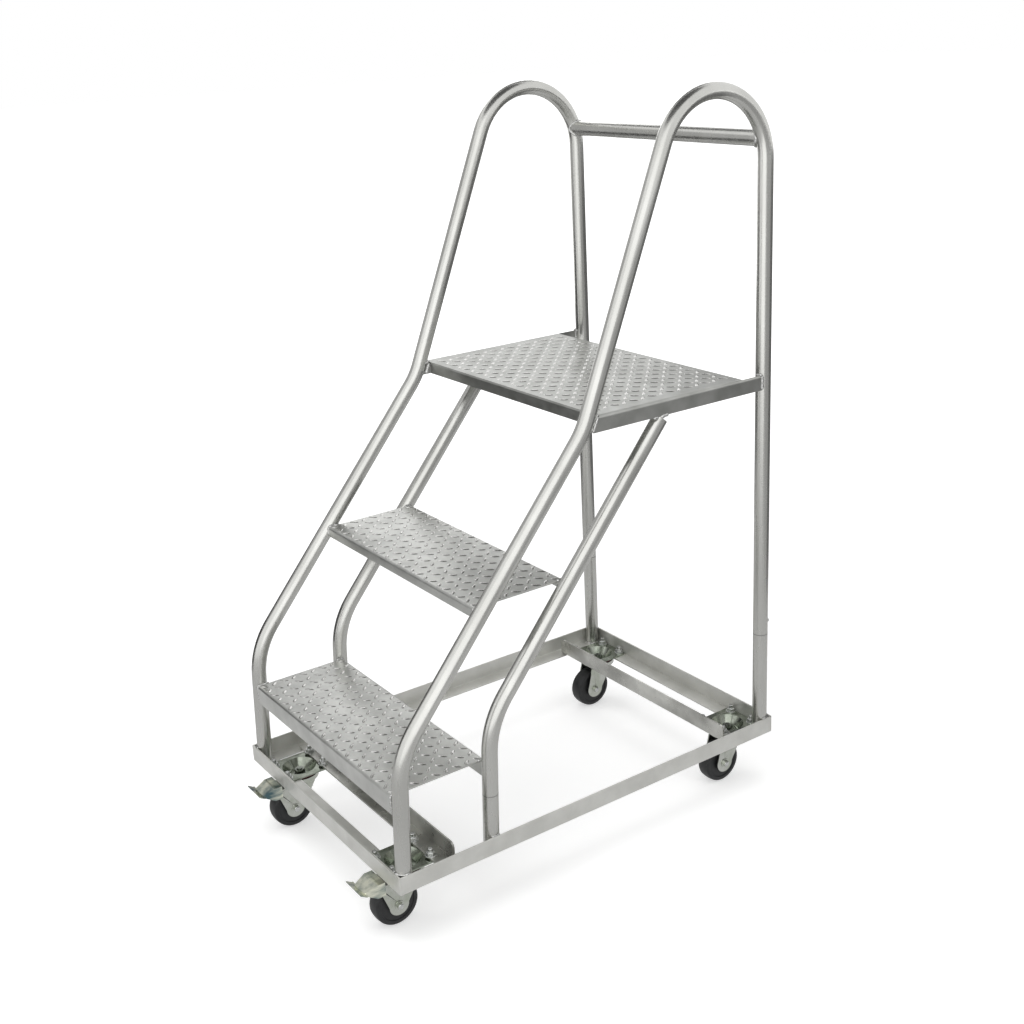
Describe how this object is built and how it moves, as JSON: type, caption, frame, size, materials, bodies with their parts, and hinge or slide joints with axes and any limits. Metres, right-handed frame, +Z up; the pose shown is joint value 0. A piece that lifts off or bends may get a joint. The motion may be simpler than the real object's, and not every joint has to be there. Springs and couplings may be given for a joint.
{
  "type": "mobile safety steps",
  "caption": "Zinc plated mobile safety steps with chequer plate treads, a standing deck, looped tube handrails and swivel casters with front brakes.",
  "frame": {"origin": "on the floor, under the middle of the overall outline in X and Y", "axes": "+Z up, -Y towards the climbing side, +Y towards the back, +X towards the climber's right"},
  "size_m": [0.505, 0.7954, 1.2044],
  "materials": {
    "zinc_tube": "bright zinc plate, lightly brushed",
    "zinc_angle": "zinc plate, satin",
    "chequer_plate": "zinc plated raised-pattern plate",
    "caster_zinc": "zinc plate with a faint yellow-green tint",
    "wheel_black": "matt black"
  },
  "bodies": {
    "frame": {"side_hoop_left": "zinc_tube", "stringer_left": "zinc_tube", "rear_stub_left": "zinc_tube", "stringer_stub_left": "zinc_tube", "base_rail_left": "zinc_angle", "side_hoop_right": "zinc_tube", "stringer_right": "zinc_tube", "rear_stub_right": "zinc_tube", "stringer_stub_right": "zinc_tube", "base_rail_right": "zinc_angle", "top_crossbar": "zinc_tube", "base_front_member": "zinc_angle", "base_rear_member": "zinc_angle", "base_inner_front": "zinc_angle", "base_inner_rear": "zinc_angle", "tread_lower": "chequer_plate", "tread_middle": "chequer_plate", "deck_plate": "chequer_plate", "caster_plate_fl": "caster_zinc", "caster_kingpin_fl": "caster_zinc", "caster_plate_fr": "caster_zinc", "caster_kingpin_fr": "caster_zinc", "caster_plate_rl": "caster_zinc", "caster_kingpin_rl": "caster_zinc", "caster_plate_rr": "caster_zinc", "caster_kingpin_rr": "caster_zinc"},
    "fork_front_left": {"caster_fork_fl": "caster_zinc", "caster_axle_fl": "caster_zinc", "brake_pedal_fl": "caster_zinc"},
    "wheel_front_left": {"caster_wheel_fl": "wheel_black"},
    "fork_front_right": {"caster_fork_fr": "caster_zinc", "caster_axle_fr": "caster_zinc", "brake_pedal_fr": "caster_zinc"},
    "wheel_front_right": {"caster_wheel_fr": "wheel_black"},
    "fork_rear_left": {"caster_fork_rl": "caster_zinc", "caster_axle_rl": "caster_zinc"},
    "wheel_rear_left": {"caster_wheel_rl": "wheel_black"},
    "fork_rear_right": {"caster_fork_rr": "caster_zinc", "caster_axle_rr": "caster_zinc"},
    "wheel_rear_right": {"caster_wheel_rr": "wheel_black"}
  },
  "joints": [
    {"name": "swivel_front_left", "type": "hinge", "parent": "frame", "child": "fork_front_left", "pos_m": [-0.175, -0.31, 0.0835], "axis": [0, 0, 1], "continuous": true},
    {"name": "roll_front_left", "type": "hinge", "parent": "fork_front_left", "child": "wheel_front_left", "pos_m": [-0.175, -0.332, 0.0375], "axis": [1, 0, 0], "continuous": true},
    {"name": "swivel_front_right", "type": "hinge", "parent": "frame", "child": "fork_front_right", "pos_m": [0.175, -0.31, 0.0835], "axis": [0, 0, 1], "continuous": true},
    {"name": "roll_front_right", "type": "hinge", "parent": "fork_front_right", "child": "wheel_front_right", "pos_m": [0.175, -0.332, 0.0375], "axis": [1, 0, 0], "continuous": true},
    {"name": "swivel_rear_left", "type": "hinge", "parent": "frame", "child": "fork_rear_left", "pos_m": [-0.185, 0.35425, 0.0835], "axis": [0, 0, 1], "continuous": true},
    {"name": "roll_rear_left", "type": "hinge", "parent": "fork_rear_left", "child": "wheel_rear_left", "pos_m": [-0.185, 0.33225, 0.0375], "axis": [1, 0, 0], "continuous": true},
    {"name": "swivel_rear_right", "type": "hinge", "parent": "frame", "child": "fork_rear_right", "pos_m": [0.185, 0.35425, 0.0835], "axis": [0, 0, 1], "continuous": true},
    {"name": "roll_rear_right", "type": "hinge", "parent": "fork_rear_right", "child": "wheel_rear_right", "pos_m": [0.185, 0.33225, 0.0375], "axis": [1, 0, 0], "continuous": true}
  ]
}
